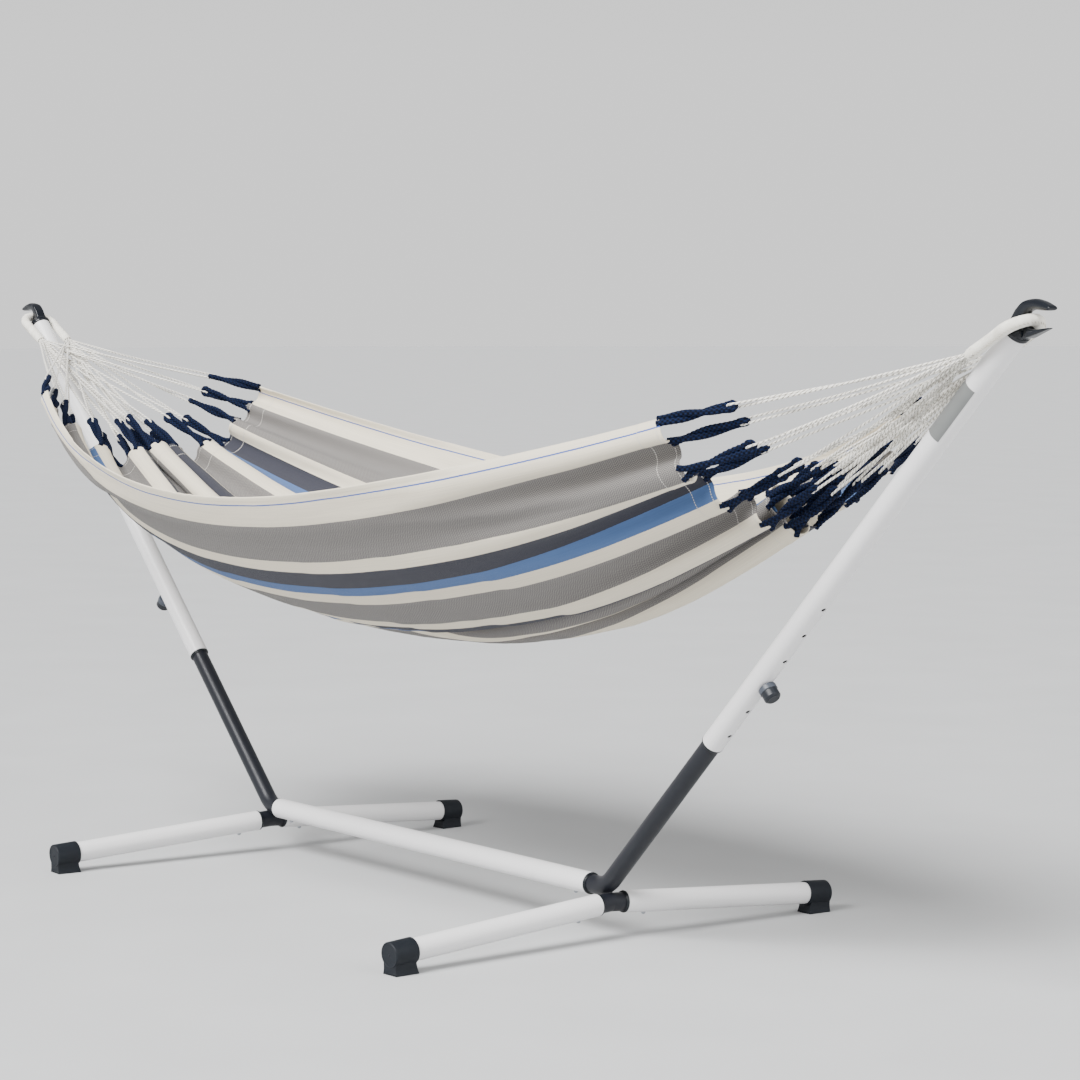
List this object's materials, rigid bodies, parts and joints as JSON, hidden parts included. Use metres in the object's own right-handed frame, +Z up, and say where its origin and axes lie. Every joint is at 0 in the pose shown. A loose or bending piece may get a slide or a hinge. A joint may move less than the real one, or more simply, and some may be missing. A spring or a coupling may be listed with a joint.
{
  "type": "hammock on stand",
  "caption": "Striped cloth hammock with fans of cords and rope loops, hung from the hooks of a tubular steel stand whose upper arms slide and lock.",
  "frame": {"origin": "on the floor under the middle of the stand, between the four foot pads", "axes": "+X along the beam towards the right-hand hub, +Y across the stand, +Z up"},
  "size_m": [3.3108, 0.9866, 1.1406],
  "materials": {
    "white_enamel": "satin powder coat",
    "dark_enamel": "satin powder coat",
    "dark_plastic": "fine grained moulding",
    "gloss_plastic": "smooth moulding",
    "bare_steel": "bright zinc plate",
    "striped_cloth": "striped woven cotton in cream, grey, charcoal and light blue",
    "cream_cord": "twisted cotton cord",
    "navy_cord": "twisted cotton cord",
    "grey_label": "printed film, blank",
    "black_tag": "woven tape, blank"
  },
  "bodies": {
    "stand": {"beam": "white_enamel", "beam_bushing_right": "dark_plastic", "lower_arm_right": "dark_enamel", "cross_tube_right": "dark_enamel", "snap_spring_beam_right": "bare_steel", "foot_tube_right_front": "white_enamel", "foot_bushing_right_front": "dark_plastic", "foot_cap_right_front": "dark_plastic", "snap_spring_foot_right_front": "bare_steel", "foot_tube_right_back": "white_enamel", "foot_bushing_right_back": "dark_plastic", "foot_cap_right_back": "dark_plastic", "snap_spring_foot_right_back": "bare_steel", "beam_bushing_left": "dark_plastic", "lower_arm_left": "dark_enamel", "cross_tube_left": "dark_enamel", "snap_spring_beam_left": "bare_steel", "foot_tube_left_front": "white_enamel", "foot_bushing_left_front": "dark_plastic", "foot_cap_left_front": "dark_plastic", "snap_spring_foot_left_front": "bare_steel", "foot_tube_left_back": "white_enamel", "foot_bushing_left_back": "dark_plastic", "foot_cap_left_back": "dark_plastic", "snap_spring_foot_left_back": "bare_steel"},
    "arm_right": {"upper_arm_right": "white_enamel", "arm_bushing_right": "dark_plastic", "hook_right": "gloss_plastic", "rope_loop_right": "cream_cord", "arm_label": "grey_label"},
    "lock_screw_right": {"lock_screw_right": "bare_steel"},
    "lock_knob_right": {"lock_knob_right": "dark_plastic"},
    "button_beam_right": {"snap_button_beam_right": "bare_steel"},
    "button_foot_right_front": {"snap_button_foot_right_front": "bare_steel"},
    "button_foot_right_back": {"snap_button_foot_right_back": "bare_steel"},
    "arm_left": {"upper_arm_left": "white_enamel", "arm_bushing_left": "dark_plastic", "hook_left": "gloss_plastic", "rope_loop_left": "cream_cord"},
    "lock_screw_left": {"lock_screw_left": "bare_steel"},
    "lock_knob_left": {"lock_knob_left": "dark_plastic"},
    "button_beam_left": {"snap_button_beam_left": "bare_steel"},
    "button_foot_left_front": {"snap_button_foot_left_front": "bare_steel"},
    "button_foot_left_back": {"snap_button_foot_left_back": "bare_steel"},
    "cords_right": {"cream_cords_right": "cream_cord"},
    "hammock": {"navy_cords_right": "navy_cord", "hammock_cloth": "striped_cloth", "navy_cords_left": "navy_cord", "side_tag": "black_tag"},
    "cords_left": {"cream_cords_left": "cream_cord"}
  },
  "joints": [
    {"name": "arm_slide_right", "type": "slide", "parent": "stand", "child": "arm_right", "axis": [0.7118, 0, 0.7024], "range_m": [0, 0.0665]},
    {"name": "lock_screw_out_right", "type": "slide", "parent": "arm_right", "child": "lock_screw_right", "axis": [0.7024, 0, -0.7118], "range_m": [0, 0.012]},
    {"name": "lock_knob_turn_right", "type": "hinge", "parent": "lock_screw_right", "child": "lock_knob_right", "pos_m": [0.99173, 0, 0.50917], "axis": [0.7024, 0, -0.7118], "range_deg": [0, 2880]},
    {"name": "arm_slide_left", "type": "slide", "parent": "stand", "child": "arm_left", "axis": [-0.7118, 0, 0.7024], "range_m": [0, 0.0665]},
    {"name": "lock_screw_out_left", "type": "slide", "parent": "arm_left", "child": "lock_screw_left", "axis": [-0.7024, 0, -0.7118], "range_m": [0, 0.012]},
    {"name": "lock_knob_turn_left", "type": "hinge", "parent": "lock_screw_left", "child": "lock_knob_left", "pos_m": [-0.99173, 0, 0.50917], "axis": [-0.7024, 0, -0.7118], "range_deg": [0, 2880]},
    {"name": "snap_press_beam_right", "type": "slide", "parent": "stand", "child": "button_beam_right", "axis": [0, 0, 1], "range_m": [0, 0.0045], "stiffness_N_per_m": 800},
    {"name": "snap_press_foot_right_front", "type": "slide", "parent": "stand", "child": "button_foot_right_front", "axis": [0.0033, -0.0662, 0.9978], "range_m": [0, 0.0045], "stiffness_N_per_m": 800},
    {"name": "snap_press_foot_right_back", "type": "slide", "parent": "stand", "child": "button_foot_right_back", "axis": [0.0033, 0.0662, 0.9978], "range_m": [0, 0.0045], "stiffness_N_per_m": 800},
    {"name": "snap_press_beam_left", "type": "slide", "parent": "stand", "child": "button_beam_left", "axis": [0, 0, 1], "range_m": [0, 0.0045], "stiffness_N_per_m": 800},
    {"name": "snap_press_foot_left_front", "type": "slide", "parent": "stand", "child": "button_foot_left_front", "axis": [-0.0033, -0.0662, 0.9978], "range_m": [0, 0.0045], "stiffness_N_per_m": 800},
    {"name": "snap_press_foot_left_back", "type": "slide", "parent": "stand", "child": "button_foot_left_back", "axis": [-0.0033, 0.0662, 0.9978], "range_m": [0, 0.0045], "stiffness_N_per_m": 800},
    {"name": "hammock_swing", "type": "hinge", "parent": "arm_right", "child": "cords_right", "pos_m": [1.51184, 0, 1.05368], "axis": [1, 0, 0], "range_deg": [-15, 15]},
    {"name": "cords_pull_right", "type": "slide", "parent": "cords_right", "child": "hammock", "axis": [-0.4617, 0, 0.887], "range_m": [0, 0.10273], "deforming": ["cream_cords_right", "navy_cords_right"]},
    {"name": "cords_pull_left", "type": "slide", "parent": "hammock", "child": "cords_left", "axis": [-0.4617, 0, -0.887], "range_m": [0, 0.10273], "deforming": ["cream_cords_left", "navy_cords_left"]}
  ],
  "couplings": [
    {"joint": "arm_slide_left", "follows": "arm_slide_right", "ratio": 1},
    {"joint": "cords_pull_right", "follows": "arm_slide_right", "ratio": 1.5417},
    {"joint": "cords_pull_left", "follows": "arm_slide_right", "ratio": 1.5417},
    {"joint": "lock_knob_turn_right", "follows": "lock_screw_out_right", "rad_per_m": 4188.8},
    {"joint": "lock_knob_turn_left", "follows": "lock_screw_out_left", "rad_per_m": 4188.8}
  ]
}
